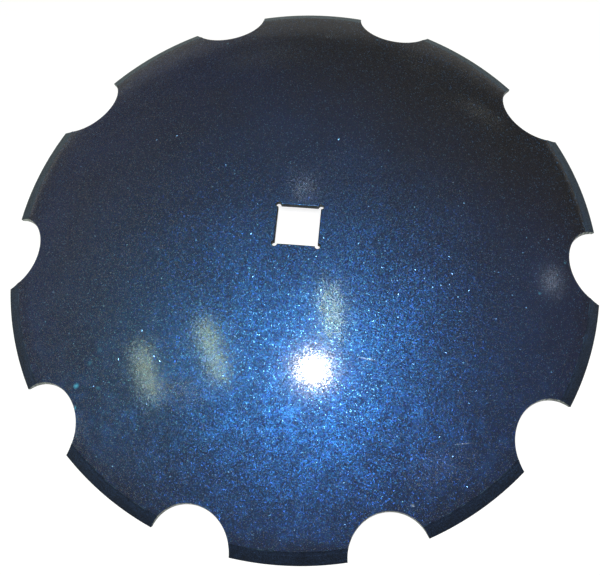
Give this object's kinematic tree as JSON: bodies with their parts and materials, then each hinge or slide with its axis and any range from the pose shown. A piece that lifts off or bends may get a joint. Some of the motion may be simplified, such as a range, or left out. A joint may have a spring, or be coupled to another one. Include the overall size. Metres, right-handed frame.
{
  "type": "harrow disc blade",
  "caption": "Notched, dished harrow disc blade with a bevelled cutting edge, round rim notches and a square axle hole, painted dark metallic blue.",
  "frame": {"origin": "on the blade's axis, in the plane of the rim that it rests on", "axes": "+Z along the axis towards the dome; the flats of the axle hole face +X, -X, +Y and -Y"},
  "size_m": [0.6082, 0.61, 0.0958],
  "materials": {
    "blue_metallic_paint": "gloss"
  },
  "bodies": {
    "root": {"disc_blade": "blue_metallic_paint"}
  },
  "joints": []
}
